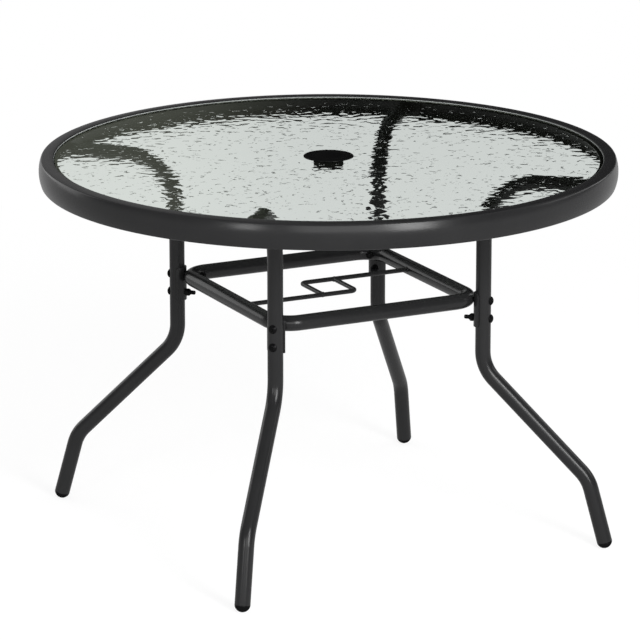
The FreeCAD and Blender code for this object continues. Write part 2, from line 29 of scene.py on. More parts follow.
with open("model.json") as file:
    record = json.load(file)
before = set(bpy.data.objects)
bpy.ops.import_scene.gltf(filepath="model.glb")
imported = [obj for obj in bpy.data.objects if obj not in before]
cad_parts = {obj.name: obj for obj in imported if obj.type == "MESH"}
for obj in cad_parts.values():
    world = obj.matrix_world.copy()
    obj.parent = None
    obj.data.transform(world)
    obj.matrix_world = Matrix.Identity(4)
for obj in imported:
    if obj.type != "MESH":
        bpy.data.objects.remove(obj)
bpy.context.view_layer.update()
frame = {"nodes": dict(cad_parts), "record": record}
bpy.context.scene.view_settings.view_transform = "Standard"

MM = 0.001
NOTHING = 1e-6
UP = Vector((0, 0, 1))
WHITE = (1, 1, 1, 1)

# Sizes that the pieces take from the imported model

LEG_ANGLES = {"right": -45.0, "back": 45.0, "left": 135.0, "front": 225.0}
LEG_CIRCLE = 300.0
LEG_TURN = 4.5
TUBE = 14.3
TUBE_WALL = 1.5
TOP = 711.0
RIM_BOTTOM = 663.5
RIM_MIDDLE = (TOP + RIM_BOTTOM) / 2
WALL_CENTRE = 469.8
WALL_CURVE = 63.6
GAUGE = 1.5
LIP = 507.0
SHELF_EDGE = 499.0
SHELF_TOP = 701.5
SHELF_BOTTOM = 700.0
HEM_EDGE = 520.6
HEM_TOP = 665.0
GLASS_TOP = 707.8
GLASS_BOTTOM = 702.8
GLASS_EDGE = 505.0
GLASS_HOLE = 28.5
RING_FACE = 710.0
RING_BOTTOM = 685.0
RING_EDGE = 46.4
RING_NECK = 27.8
PLUG_SEAT = 708.4
PLUG_BORE = 31.4
SKIRT_BORE = 25.0
POLE_BORE = 20.5
POLE_LEDGE = 699.0
BRACE_LEVEL = 459.0
LOWER_LEVEL = 425.0
BRACE_HALF = 202.06
BRACE_CORNER = 43.6
RUN_LEVEL = 682.0
RUN_END = 223.3
TOP_BEND = 100.0
LOW_BEND = 75.0
KNEE = 362.7
SPLAY = 45.0
SADDLE_INSIDE = 14.4
SADDLE_OUTSIDE = 17.9
SADDLE_HALF = 76.0
SADDLE_LOW = 410.0
SADDLE_HIGH = 474.0
ROD = 4.25
ROD_SPREAD = 46.9
ROD_REACH = 34.5
ROD_BEND = 12.0
SCREW_REACH = 190.3
SCREW_SEAT = 667.7
FOOT_REACH = 237.0
FOOT_LEAN = 15.3
FOOT_DOME = 14.583
FOOT_SHOULDER = 10.5
FOOT_EDGE = 14.0
FOOT_BAND = 12.0
FOOT_STEM = 12.5
FOOT_END = 36.0
PAD_BOTTOM = 667.0
PAD_TOP = 697.0
PAD_TURN = 1.935
PAD_HALF = 3.25

# Camera: fitted to the photograph, as a plain camera without shift

CAMERA_AZIMUTH = -26.38
CAMERA_ELEVATION = 15.34
CAMERA_DISTANCE = 7.767
CAMERA_LENS = 234.6
CAMERA_SENSOR = 36
CAMERA_AIM_SIDE = -0.0157
CAMERA_AIM_HEIGHT = 0.3949
CAMERA_FAR = 100


def camera_right():
    """The direction to the right in the picture."""
    azimuth = math.radians(CAMERA_AZIMUTH)
    return Vector((math.cos(azimuth), math.sin(azimuth), 0))


def make_camera():
    azimuth = math.radians(CAMERA_AZIMUTH)
    elevation = math.radians(CAMERA_ELEVATION)
    back = Vector((
        math.sin(azimuth) * math.cos(elevation),
        -math.cos(azimuth) * math.cos(elevation),
        math.sin(elevation),
    ))
    target = camera_right() * CAMERA_AIM_SIDE + UP * CAMERA_AIM_HEIGHT
    camera = bpy.data.objects.new("camera", bpy.data.cameras.new("camera"))
    bpy.context.scene.collection.objects.link(camera)
    camera.data.lens = CAMERA_LENS
    camera.data.sensor_width = CAMERA_SENSOR
    camera.data.clip_end = CAMERA_FAR
    camera.location = target + back * CAMERA_DISTANCE
    camera.rotation_mode = "QUATERNION"
    camera.rotation_quaternion = (-back).to_track_quat("-Z", "Y")
    bpy.context.scene.camera = camera


# Node tools

CLOUD_LOW = 0.3
CLOUD_HIGH = 0.7


class Shader:
    """The nodes of a material or a world, and short ways to add to them."""

    def __init__(self, owner, output="OutputMaterial"):
        self.owner = owner
        owner.use_nodes = True
        self.tree = owner.node_tree
        self.tree.nodes.clear()
        self.output = self.node(output)

    def node(self, kind, inputs=None, **settings):
        made = self.tree.nodes.new("ShaderNode" + kind)
        for name, value in settings.items():
            setattr(made, name, value)
        for name, value in (inputs or {}).items():
            if isinstance(value, bpy.types.NodeSocket):
                self.tree.links.new(value, made.inputs[name])
            else:
                made.inputs[name].default_value = value
        return made

    def place(self):
        return self.node("TexCoord").outputs["Object"]

    def math(self, operation, first, second):
        return self.node("Math", {0: first, 1: second}, operation=operation).outputs[0]

    def noise(self, scale, detail, distortion=0.0):
        return self.node("TexNoise", {
            "Vector": self.place(), "Scale": scale, "Detail": detail, "Roughness": 0.5,
            "Distortion": distortion,
        }).outputs["Fac"]

    def spread(self, value, low, high, to_low, to_high, smooth=False):
        """A value between low and high carried over to another range."""
        return self.node("MapRange", {
            "Value": value, "From Min": low, "From Max": high, "To Min": to_low, "To Max": to_high,
        }, interpolation_type="SMOOTHSTEP" if smooth else "LINEAR").outputs[0]

    def clouded(self, cloud, low, high):
        """A number that varies with a noise."""
        return self.spread(cloud, CLOUD_LOW, CLOUD_HIGH, low, high)

    def tones(self, cloud, dark, light):
        """A colour that varies with a noise."""
        made = self.node("ValToRGB", {"Fac": cloud})
        first, last = made.color_ramp.elements
        first.position, first.color = CLOUD_LOW, (*dark, 1)
        last.position, last.color = CLOUD_HIGH, (*light, 1)
        return made.outputs["Color"]

    def bump(self, height, distance, strength=1.0, under=None):
        """A normal that follows a height, over another normal if one is given."""
        inputs = {"Height": height, "Distance": distance, "Strength": strength}
        if under:
            inputs["Normal"] = under
        return self.node("Bump", inputs).outputs["Normal"]

    def mix(self, share, first, second):
        return self.node("MixShader", {0: share, 1: first.outputs[0], 2: second.outputs[0]})

    def finish(self, surface):
        self.tree.links.new(surface.outputs[0], self.output.inputs["Surface"])
        return self.owner

    def principled(self, inputs):
        return self.finish(self.node("BsdfPrincipled", inputs))


def new_material(name):
    """The nodes of a new material."""
    return Shader(bpy.data.materials.new(name))


# Materials

GLASS_TINT = (0.925, 0.95, 0.935, 1)
MIRROR_TINT = (0.465, 0.5, 0.4, 1)
MIRROR_ROUGHNESS = 0.02
GLASS_IOR = 1.5
WAVE_DEPTH = 0.00032
DIMPLE_DEPTH = 0.0007
DIMPLE_START = 0.655
DIMPLE_END = 0.80


def powder_coat():
    """Satin charcoal powder coat: a fine orange peel and slight changes of tone."""
    shader = new_material("charcoal_powder_coat")
    cloud = shader.noise(scale=11.0, detail=4.0)
    peel = shader.noise(scale=650.0, detail=2.0)
    sag = shader.noise(scale=60.0, detail=2.0)
    normal = shader.bump(sag, distance=0.0001, strength=0.5, under=shader.bump(peel, distance=0.00003))
    return shader.principled({
        "Base Color": shader.tones(cloud, (0.0125, 0.0125, 0.013), (0.0155, 0.0155, 0.016)),
        "Roughness": shader.clouded(cloud, 0.55, 0.6), "Specular IOR Level": 0.0,
        "Coat Weight": 0.52, "Coat IOR": 1.4, "Coat Roughness": 0.23, "Normal": normal, "Coat Normal": normal,
    })


def bent_light(shader, more):
    """Clear refraction, with more inputs if they are given."""
    inputs = {"Color": GLASS_TINT, "Roughness": 0.0, "IOR": GLASS_IOR}
    return shader.node("BsdfRefraction", inputs | more)


def smooth_glass():
    """Clear tempered glass on the flat face and the edges: it bends the light, and mirrors a little of it."""
    shader = new_material("smooth_glass")
    mirror = shader.node("BsdfGlossy", {"Color": MIRROR_TINT, "Roughness": MIRROR_ROUGHNESS})
    share = shader.node("Fresnel", {"IOR": GLASS_IOR}).outputs[0]
    return shader.finish(shader.mix(share, bent_light(shader, {}), mirror))


def rolled_glass():
    """The face below only bends the light. It has low waves all over, and small separate dimples."""
    shader = new_material("rolled_glass")
    waves = shader.noise(scale=60.0, detail=0.0, distortion=0.4)
    spots = shader.noise(scale=86.0, detail=1.0, distortion=0.8)
    dimples = shader.spread(spots, DIMPLE_START, DIMPLE_END, 0.0, 1.0, smooth=True)
    normal = shader.bump(dimples, DIMPLE_DEPTH, under=shader.bump(waves, WAVE_DEPTH))
    return shader.finish(bent_light(shader, {"Normal": normal}))


def black_plastic():
    shader = new_material("black_plastic")
    grain = shader.noise(scale=1400.0, detail=2.0)
    cloud = shader.noise(scale=40.0, detail=3.0)
    return shader.principled({
        "Base Color": (0.004, 0.004, 0.0042, 1), "Roughness": shader.clouded(cloud, 0.5, 0.6),
        "Specular IOR Level": 0.0, "Coat Weight": 0.035, "Coat IOR": 2.0, "Coat Roughness": 0.25,
        "Normal": shader.bump(grain, distance=0.00003),
    })


def seal_vinyl():
    # Grey vinyl for the seal's crest. Its pale tone is partly painted highlight: it stands in for the bright
    # line that light draws along the glass edge.
    shader = new_material("seal_vinyl")
    grain = shader.noise(scale=600.0, detail=2.0)
    cloud = shader.noise(scale=30.0, detail=3.0)
    return shader.principled({
        "Base Color": shader.tones(cloud, (0.26, 0.275, 0.268), (0.33, 0.345, 0.338)), "Roughness": 0.5,
        "Specular IOR Level": 0.0, "Normal": shader.bump(grain, distance=0.00004),
    })


def black_oxide():
    shader = new_material("black_oxide_steel")
    grain = shader.noise(scale=1100.0, detail=3.0)
    cloud = shader.noise(scale=90.0, detail=3.0)
    return shader.principled({
        "Base Color": shader.tones(cloud, (0.003, 0.003, 0.0035), (0.006, 0.006, 0.006)),
        "Roughness": shader.clouded(cloud, 0.5, 0.6), "Specular IOR Level": 0.0,
        "Coat Weight": 0.07, "Coat IOR": 1.6, "Coat Roughness": 0.2,
        "Normal": shader.bump(grain, distance=0.00003),
    })


materials = {
    "frame_coat": powder_coat(),
    "patterned_glass": smooth_glass(),
    "black_plastic": black_plastic(),
    "seal_vinyl": seal_vinyl(),
    "black_fastener": black_oxide(),
}
material_below = rolled_glass()


def dress_nodes():
    """Every CAD node gets the full material of its slot."""
    for part in frame["record"]["subparts"]:
        thing = frame["nodes"][part["node"]]
        thing.data.materials.clear()
        thing.data.materials.append(materials[part["material_slot"]])


# Shapes as lists of points and faces

class Shape:
    """Points in millimetres and faces that a piece is made from."""

    def __init__(self):
        self.points = []
        self.faces = []
        self.materials = []

    def add(self, points, faces, turn=None, material=0):
        start = len(self.points)
        self.points += [turn @ Vector(point) if turn else Vector(point) for point in points]
        self.faces += [[start + index for index in face] for face in faces]
        self.materials += [material] * len(faces)

    def piece(self, name, slot, replaced=(), body="frame", sharp=32.0, extra=()):
        mesh = bpy.data.meshes.new(name)
        mesh.from_pydata([point * MM for point in self.points], [], self.faces)
        mesh.polygons.foreach_set("material_index", self.materials)
        build = bmesh.new()
        build.from_mesh(mesh)
        bmesh.ops.remove_doubles(build, verts=build.verts, dist=NOTHING)
        bmesh.ops.recalc_face_normals(build, faces=build.faces)
        build.to_mesh(mesh)
        build.free()
        mesh.shade_smooth()
        mesh.set_sharp_from_angle(angle=math.radians(sharp))
        for material in (materials[slot], *extra):
            mesh.materials.append(material)
        thing = bpy.data.objects.new(name, mesh)
        bpy.context.scene.collection.objects.link(thing)
        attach(thing, body)
        if replaced:
            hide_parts(*replaced)


class Rings:
    """Rings of points, each joined to the next by faces."""

    def __init__(self):
        self.points = []
        self.rings = []

    def add(self, points):
        start = len(self.points)
        self.points += points
        self.rings.append(list(range(start, len(self.points))))

    def tip(self, point, count):
        """A ring that is one point many times over."""
        self.rings.append([len(self.points)] * count)
        self.points.append(point)

    def joined(self, closed=False, capped=False):
        """Points and faces. Closed joins the last ring to the first one, capped closes both ends."""
        faces = ring_faces(self.rings, closed)
        if capped:
            faces += [self.rings[0][::-1], self.rings[-1]]
        return self.points, faces


def ring_faces(rings, closed):
    """Faces between rings of equal counts. A ring that is one point many times over makes triangles."""
    faces = []
    following = rings[1:] + rings[:1] if closed else rings[1:]
    for low, high in zip(rings, following):
        for index in range(len(low)):
            after = (index + 1) % len(low)
            face = list(dict.fromkeys((low[index], low[after], high[after], high[index])))
            if len(face) > 2:
                faces.append(face)
    return faces


def doubling_faces(low, high):
    """Triangles between a ring and one with twice as many points."""
    faces = []
    for index, here in enumerate(low):
        after = low[(index + 1) % len(low)]
        start, middle, finish = high[2 * index], high[2 * index + 1], high[(2 * index + 2) % len(high)]
        faces += [(here, start, middle), (here, middle, after), (after, middle, finish)]
    return faces


def directions(count):
    """The cosine and sine of even steps round a circle."""
    angles = [2 * math.pi * index / count for index in range(count)]
    return [(math.cos(angle), math.sin(angle)) for angle in angles]


def turned(outline, count, closed=True):
    """An outline of (radius, height) turned round the vertical axis."""
    rings = Rings()
    for radius, height in outline:
        if radius < NOTHING:
            rings.tip((0, 0, height), count)
        else:
            rings.add([(radius * x, radius * y, height) for x, y in directions(count)])
    return rings.joined(closed)


def softened(corners, steps=4):
    """A closed outline of (x, y, cut) corners, where a cut is how far back a corner's rounding starts."""
    outline = []
    for index, (x, y, cut) in enumerate(corners):
        here = Vector((x, y))
        if not cut:
            outline.append(here)
            continue
        before = (Vector(corners[index - 1][:2]) - here).normalized() * cut
        after = (Vector(corners[(index + 1) % len(corners)][:2]) - here).normalized() * cut
        for step in range(steps + 1):
            share = step / steps
            outline.append(here + before * (1 - share) ** 2 + after * share ** 2)
    return outline


def outward(angle):
    """The direction away from the table's axis at an angle in degrees."""
    return Vector((math.cos(math.radians(angle)), math.sin(math.radians(angle)), 0))


def facing(angle, radius, level, own_turn):
    """A place whose Z points out from the table's axis, and whose X points up before its own turn."""
    out = outward(angle)
    place = Matrix((UP, out.cross(UP), out)).transposed().to_4x4()
    place.translation = out * radius + UP * level
    return place @ Matrix.Rotation(math.radians(own_turn), 4, "Z")


def on_leg(angle, own_turn=LEG_TURN):
    """A leg's own frame: Z is its shaft. With LEG_TURN, X points out in the plane of its bends."""
    place = Matrix.Rotation(math.radians(angle) + math.radians(own_turn), 4, "Z")
    place.translation = outward(angle) * LEG_CIRCLE
    return place


# Rim and seal

RIM_SEGMENTS = 360
WALL_STEPS = 12
WALL_END = 528.9
OUTER_RISE = 20.0
INNER_RISE = 20.5
LAND_EDGE = 505.9
LAND_FLAT = 518.5
LAND_UNDER = 709.4
SEAL_START = 500.3
SEAL_WALL = 505.2
SEAL_BACK = 506.8
CREST_BOTTOM = 708.1
CREST_TOP = 709.45


def wall(inset, rise):
    """One face of the bowed wall as (radius, height, cut) corners from low to high."""
    radius = WALL_CURVE - inset
    corners = []
    for step in range(WALL_STEPS + 1):
        height = rise * (2 * step / WALL_STEPS - 1)
        corners.append((WALL_CENTRE + math.sqrt(radius ** 2 - height ** 2), RIM_MIDDLE + height, 0))
    return corners


def make_rim():
    inner_end = WALL_END - GAUGE
    corners = [
        (SHELF_EDGE, SHELF_TOP, 0.5), (SHELF_EDGE, SHELF_BOTTOM, 0.5), (LIP + GAUGE, SHELF_BOTTOM, 0.6),
        (LIP + GAUGE, LAND_UNDER, 0.8), (inner_end, LAND_UNDER, 1.6), *reversed(wall(GAUGE, INNER_RISE)),
        (inner_end, HEM_TOP, 1.6), (HEM_EDGE, HEM_TOP, 0.5), (HEM_EDGE, RIM_BOTTOM, 0.5),
        (WALL_END, RIM_BOTTOM, 2.6), *wall(0, OUTER_RISE), (WALL_END, 710.75, 2.8), (LAND_FLAT, TOP, 0),
        (LAND_EDGE, 710.9, 1.3), (LAND_EDGE, 709.5, 0.4), (LIP, LAND_UNDER, 0.2), (LIP, SHELF_TOP, 0.4),
    ]
    shape = Shape()
    shape.add(*turned(softened(corners), RIM_SEGMENTS))
    shape.piece("rolled_rim", "frame_coat", ["rim_frame"], sharp=60.0)


def make_seal():
    """A channel round the glass edge, black as painted shade under the glass, with a grey crest that shows
    above the glass; the crest's pale tone is partly painted highlight.
    """
    channel = [
        (SEAL_START, SHELF_TOP, 0.3), (SEAL_BACK, SHELF_TOP, 0.3), (SEAL_BACK, 708.2, 0), (505.8, 708.2, 0.2),
        (SEAL_WALL, 707.6, 0.2), (SEAL_WALL, GLASS_BOTTOM, 0), (SEAL_START, GLASS_BOTTOM, 0.3),
    ]
    crest = [
        (505.6, CREST_BOTTOM, 0.1), (SEAL_BACK, CREST_BOTTOM, 0), (SEAL_BACK, CREST_TOP, 0.1),
        (505.7, CREST_TOP, 0.1),
    ]
    shape = Shape()
    # The channel takes black plastic as painted shade under the glass; the crest takes the grey vinyl, partly
    # painted highlight.
    for corners, material in ((channel, 1), (crest, 0)):
        shape.add(*turned(softened(corners, steps=3), RIM_SEGMENTS), material=material)
    shape.piece("vinyl_seal", "seal_vinyl", ["glass_seal"], sharp=70.0, extra=(materials["black_plastic"],))


# Glass: flat above, rolled below

RIPPLE_STEP = 4.2
RIPPLE_STRETCH = 1.45
RIPPLE_SIZE = 15.0
RIPPLE_DEPTH = 0.14
RIPPLE_FADE = 4.0
FIRST_COUNT = 64
FLAT_GROWTH = 1.9
GLASS_BEVEL = 0.8


def ripple(x, y):
    """How far the rolled face stands above its level."""
    return RIPPLE_DEPTH * noise.noise(Vector((x, y, 0)) / RIPPLE_SIZE)


def rolled_face(first, last):
    """The rolled face between two radii. A ring has twice the points where they would be too far apart."""
    face = Rings()
    count = FIRST_COUNT
    steps = round((last - first) / RIPPLE_STEP)
    for step in range(steps + 1):
        radius = first + (last - first) * step / steps
        if 2 * math.pi * radius / count > RIPPLE_STEP * RIPPLE_STRETCH:
            count *= 2
        fade = min(1.0, (radius - first) / RIPPLE_FADE, (last - radius) / RIPPLE_FADE)
        places = [(radius * x, radius * y) for x, y in directions(count)]
        face.add([(x, y, GLASS_BOTTOM + ripple(x, y) * fade) for x, y in places])
    faces = []
    for low, high in zip(face.rings, face.rings[1:]):
        faces += ring_faces([low, high], False) if len(low) == len(high) else doubling_faces(low, high)
    return face.points, faces, count


def make_glass():
    first = GLASS_HOLE + GLASS_BEVEL
    last = GLASS_EDGE - GLASS_BEVEL
    points, faces, last_count = rolled_face(first, last)
    shape = Shape()
    shape.add(points, faces, material=1)
    for face_edge, side, count in ((first, GLASS_HOLE, FIRST_COUNT), (last, GLASS_EDGE, last_count)):
        outline = [
            (face_edge, GLASS_BOTTOM), (side, GLASS_BOTTOM + GLASS_BEVEL), (side, GLASS_TOP - GLASS_BEVEL),
            (face_edge, GLASS_TOP),
        ]
        shape.add(*turned(outline, count, closed=False))
    # The flat face's counts double until they meet those of the outer edge.
    count = FIRST_COUNT
    radius = first
    while count < last_count:
        bigger = radius * FLAT_GROWTH
        flat = Rings()
        for ring_radius, ring_count in ((radius, count), (bigger, 2 * count)):
            flat.add([(ring_radius * x, ring_radius * y, GLASS_TOP) for x, y in directions(ring_count)])
        shape.add(flat.points, doubling_faces(*flat.rings))
        count *= 2
        radius = bigger
    shape.add(*turned([(radius, GLASS_TOP), (last, GLASS_TOP)], count, closed=False))
    shape.piece("glass_pane", "patterned_glass", ["glass_top"], sharp=20.0, extra=(material_below,))


# Hole ring and its plug

HOLE_SEGMENTS = 128
RING_GROOVE = 709.6
PLUG_EDGE = 31.0
PLUG_UNDER = 708.6
PLUG_GROOVE = 709.65
SKIRT_OUTSIDE = 24.6
SKIRT_INSIDE = 22.6
SKIRT_BOTTOM = 699.4


def make_hole_ring():
    corners = [
        (RING_NECK, RING_BOTTOM, 0.5), (RING_NECK, GLASS_TOP, 0), (RING_EDGE, GLASS_TOP, 0.2),
        (RING_EDGE, 708.9, 0.9), (44.6, RING_FACE, 0.9), (34.0, RING_FACE, 0.3), (33.6, RING_GROOVE, 0.2),
        (33.0, RING_GROOVE, 0.2), (32.6, RING_FACE, 0.2), (PLUG_BORE, RING_FACE, 0.3),
        (PLUG_BORE, PLUG_SEAT, 0.2), (SKIRT_BORE, PLUG_SEAT, 0.3), (SKIRT_BORE, POLE_LEDGE, 0),
        (POLE_BORE, POLE_LEDGE, 0.5), (POLE_BORE, RING_BOTTOM, 0.5),
    ]
    shape = Shape()
    shape.add(*turned(softened(corners, steps=3), HOLE_SEGMENTS))
    shape.piece("hole_bush", "black_plastic", ["hole_ring"], sharp=50.0)


def make_hole_plug():
    corners = [
        (0, PLUG_UNDER, 0), (SKIRT_INSIDE, PLUG_UNDER, 0), (SKIRT_INSIDE, SKIRT_BOTTOM, 0.3),
        (SKIRT_OUTSIDE, SKIRT_BOTTOM, 0.4), (SKIRT_OUTSIDE, PLUG_UNDER, 0), (PLUG_EDGE, PLUG_UNDER, 0.2),
        (PLUG_EDGE, RING_FACE, 0.6), (27.2, RING_FACE, 0.3), (26.6, PLUG_GROOVE, 0.2),
        (25.4, PLUG_GROOVE, 0.2), (24.8, RING_FACE, 0.3), (0, RING_FACE, 0),
    ]
    shape = Shape()
    shape.add(*turned(softened(corners, steps=3), HOLE_SEGMENTS, closed=False))
    shape.piece("hole_cap", "black_plastic", ["hole_plug"], body="plug", sharp=50.0)


# Fasteners

# For each joint: its level, its bolts' length, and how far from the table's axis its nuts are seated.
BRACE_JOINTS = {"upper": (BRACE_LEVEL, 70.0, 252.3), "lower": (LOWER_LEVEL, 50.0, 282.0)}
BRACE_BOLT = {"radius": 4.0, "head": 7.9, "land": 1.2, "height": 4.9, "hex_width": 5.0, "threaded": 22.0}
SOCKET_SCREW = {"radius": 3.0, "head": 5.6, "land": 0.8, "height": 3.0, "hex_width": 4.0, "threaded": 9.0}
SOCKET_SCREW_LENGTH = 12.0
BRACE_NUT = {"width": 13.0, "height": 6.5, "bore": 4.05}
BOLT_TURN = 17.0
SCREW_TURN = 25.0
NUT_START = 30.0
NUT_TURN = 11.0
SCREW_SIDES = 48
HEAD_EDGE = 0.25
DOME_SHARES = (0.96, 0.86, 0.72, 0.58, 0.46)
DOME_MARGIN = 0.35
SOCKET_EASE = 0.2
SOCKET_SHARE = 0.52
SOCKET_TIP = 0.15
SHANK_SIDES = 32
THREAD_SIDES = 20
THREAD_PITCH = 1.25
THREAD_DEPTH = 0.4
THREAD_START = 0.4
THREAD_SINK = 0.2
THREAD_FADE = 6
THREAD_FLAT_START = 0.4
THREAD_FLAT_END = 0.55
THREAD_FOOT_END = 0.95
POINT_CUT = 0.4
POINT_LENGTH = 0.5
RUN_OUT = 0.6
HEAD_SINK = 0.1
WASHER_SHARE = 0.478
CHAMFER_SLOPE = 30
CHAMFER_DEPTHS = (0.0, 0.15, 0.3, 0.45, 0.62, 0.8)
BORE_CHAMFER = 0.5
COLLAR_PROFILE = ((5.4, 0.0), (5.4, 1.3), (5.15, 1.7), (4.7, 2.0))
COLLAR_DEPTH = 2.0


def hexagon(width):
    """How far out a hexagon's sides are in a screw's directions, for its width across flats."""
    angles = [2 * math.pi * index / SCREW_SIDES for index in range(SCREW_SIDES)]
    return [width / 2 / math.cos(angle % (math.pi / 3) - math.pi / 6) for angle in angles]


def even(value):
    """The same value in each of a screw's directions."""
    return [value] * SCREW_SIDES


def screw_ring(radii, levels):
    """A ring with a radius and a level for each of a screw's directions."""
    places = zip(radii, levels, directions(SCREW_SIDES))
    return [(radius * x, radius * y, level) for radius, level, (x, y) in places]


def button_head(head, land, height, hex_width):
    """A domed head that stands on Z = 0, with a hexagon socket in it."""
    crown = (head ** 2 + (height - land) ** 2) / (2 * (height - land))
    socket = hexagon(hex_width)
    floor = height * (1 - SOCKET_SHARE)
    rings = Rings()

    def on_dome(radii, drop=0.0):
        levels = [height - crown + math.sqrt(crown ** 2 - radius ** 2) - drop for radius in radii]
        rings.add(screw_ring(radii, levels))

    rings.tip((0, 0, 0), SCREW_SIDES)
    for radius, level in ((head - HEAD_EDGE, 0.0), (head, HEAD_EDGE), (head, land)):
        rings.add(screw_ring(even(radius), even(level)))
    for share in DOME_SHARES:
        on_dome([max(head * share, side + DOME_MARGIN) for side in socket])
    on_dome([side + SOCKET_EASE for side in socket])
    on_dome(socket, SOCKET_EASE)
    rings.add(screw_ring(socket, even(floor)))
    rings.tip((0, 0, floor - SOCKET_TIP * height), SCREW_SIDES)
    return rings.joined()


def thread(core, crest, start, finish):
    """A closed helical ridge round the Z axis."""
    turns = int((finish - start) / THREAD_PITCH * THREAD_SIDES)
    foot = core - THREAD_SINK
    rings = Rings()
    for step in range(turns + 1):
        angle = 2 * math.pi * step / THREAD_SIDES
        rise = start + THREAD_PITCH * step / THREAD_SIDES
        outer = core + (crest - core) * min(1.0, step / THREAD_FADE, (turns - step) / THREAD_FADE)
        section = ((foot, 0.0), (outer, THREAD_FLAT_START), (outer, THREAD_FLAT_END), (foot, THREAD_FOOT_END))
        rings.add([
            (radius * math.cos(angle), radius * math.sin(angle), rise + THREAD_PITCH * share)
            for radius, share in section
        ])
    return rings.joined(capped=True)


def bolt(shape, place, length, radius, head, land, height, hex_width, threaded):
    """A bolt whose head stands on the place's origin and whose shank runs to -Z."""
    shape.add(*button_head(head, land, height, hex_width), place)
    core = radius - THREAD_DEPTH
    shank = softened([
        (0, -length, 0), (core - POINT_CUT, -length, 0), (core, -length + POINT_LENGTH, 0),
        (core, -length + threaded, 0), (radius, -length + threaded + RUN_OUT, 0), (radius, HEAD_SINK, 0),
        (0, HEAD_SINK, 0),
    ])
    shape.add(*turned(shank, SHANK_SIDES, closed=False), place)
    shape.add(*thread(core, radius, -length + THREAD_START, -length + threaded), place)


def nut(shape, place, width, height, bore):
    """A hexagon nut between Z = -height and 0, with chamfered corners and a locking collar behind it."""
    slope = math.tan(math.radians(CHAMFER_SLOPE))
    chamfer = []
    for depth in CHAMFER_DEPTHS:
        chamfer.append(([min(side, width * WASHER_SHARE + depth / slope) for side in hexagon(width)], depth))
    profile = [(even(bore + BORE_CHAMFER), 0.0)]
    profile += [(radii, -depth) for radii, depth in chamfer]
    profile += [(radii, depth - height) for radii, depth in reversed(chamfer)]
    profile += [(even(radius), -height - depth) for radius, depth in COLLAR_PROFILE]
    profile += [(even(bore), -height - COLLAR_DEPTH), (even(bore), -BORE_CHAMFER)]
    rings = Rings()
    for radii, level in profile:
        rings.add(screw_ring(radii, even(level)))
    shape.add(*rings.joined(closed=True), place)


def make_fasteners():
    for name, (level, length, _) in BRACE_JOINTS.items():
        shape = Shape()
        for index, angle in enumerate(LEG_ANGLES.values()):
            bolt(shape, facing(angle, LEG_CIRCLE + TUBE, level, BOLT_TURN * index), length, **BRACE_BOLT)
        shape.piece(name + "_button_bolts", "black_fastener", [name + "_brace_bolts"], sharp=28.0)
    for name, (level, _, seat) in BRACE_JOINTS.items():
        shape = Shape()
        for index, angle in enumerate(LEG_ANGLES.values()):
            nut(shape, facing(angle, seat, level, NUT_START + NUT_TURN * index), **BRACE_NUT)
        shape.piece(name + "_hex_nuts", "black_fastener", [name + "_brace_nuts"], sharp=25.0)
    shape = Shape()
    upside_down = Matrix.Translation((SCREW_REACH, 0, SCREW_SEAT)) @ Matrix.Rotation(math.pi, 4, "X")
    for index, angle in enumerate(LEG_ANGLES.values()):
        own_turn = Matrix.Rotation(math.radians(SCREW_TURN * index), 4, "Z")
        bolt(shape, on_leg(angle) @ upside_down @ own_turn, SOCKET_SCREW_LENGTH, **SOCKET_SCREW)
    shape.piece("socket_button_screws", "black_fastener", ["socket_screws"], sharp=28.0)


# Feet

FOOT_SEGMENTS = 72
FOOT_STEPS = 14
FOOT_BARBS = (14.0, 20.0, 26.0)
BARB_DEPTH = 0.7
BARB_RISE = 0.4
BARB_LENGTH = 3.0
STEM_TAPER = 1.5
FOOT_RING = 14.12
FOOT_RING_LEVEL = 10.75
FOOT_RING_TOP = 11.0


def make_feet():
    reach = math.acos(1 - FOOT_SHOULDER / FOOT_DOME)
    dome = []
    for step in range(FOOT_STEPS + 1):
        angle = reach * step / FOOT_STEPS
        dome.append((FOOT_DOME * math.sin(angle), FOOT_DOME * (1 - math.cos(angle)), 0))
    root = FOOT_STEM - BARB_DEPTH
    barbs = []
    for level in FOOT_BARBS:
        barbs += [(root, level, 0), (FOOT_STEM, level + BARB_RISE, 0.2), (root, level + BARB_LENGTH, 0.3)]
    outline = softened([
        *dome, (FOOT_RING, FOOT_RING_LEVEL, 0.1), (FOOT_EDGE, FOOT_RING_TOP, 0.1),
        (FOOT_EDGE, FOOT_BAND, 0.3), (root, FOOT_BAND, 0), *barbs, (FOOT_STEM - STEM_TAPER, FOOT_END, 0.6),
        (0, FOOT_END, 0),
    ])
    lean = Matrix.Translation((FOOT_REACH, 0, 0)) @ Matrix.Rotation(math.radians(-FOOT_LEAN), 4, "Y")
    for name, angle in LEG_ANGLES.items():
        shape = Shape()
        shape.add(*turned(outline, FOOT_SEGMENTS, closed=False), on_leg(angle) @ lean)
        for point in shape.points:
            point.z = max(point.z, 0.0)
        shape.piece("foot_cap_" + name, "black_plastic", ["foot_" + name], sharp=40.0)


# Bent tubes

PIPE_SIDES = 48
PIPE_EASE = 0.3
BEND_STEP = 4.0
ROD_SINK = 3.0
ROD_SHORT = 2.0


def arc(x, y, radius, start, finish):
    """Points of an arc between two directions in degrees."""
    steps = max(2, round(abs(finish - start) / BEND_STEP))
    bearings = [math.radians(start + (finish - start) * step / steps) for step in range(steps + 1)]
    return [(x + radius * math.cos(bearing), y + radius * math.sin(bearing)) for bearing in bearings]


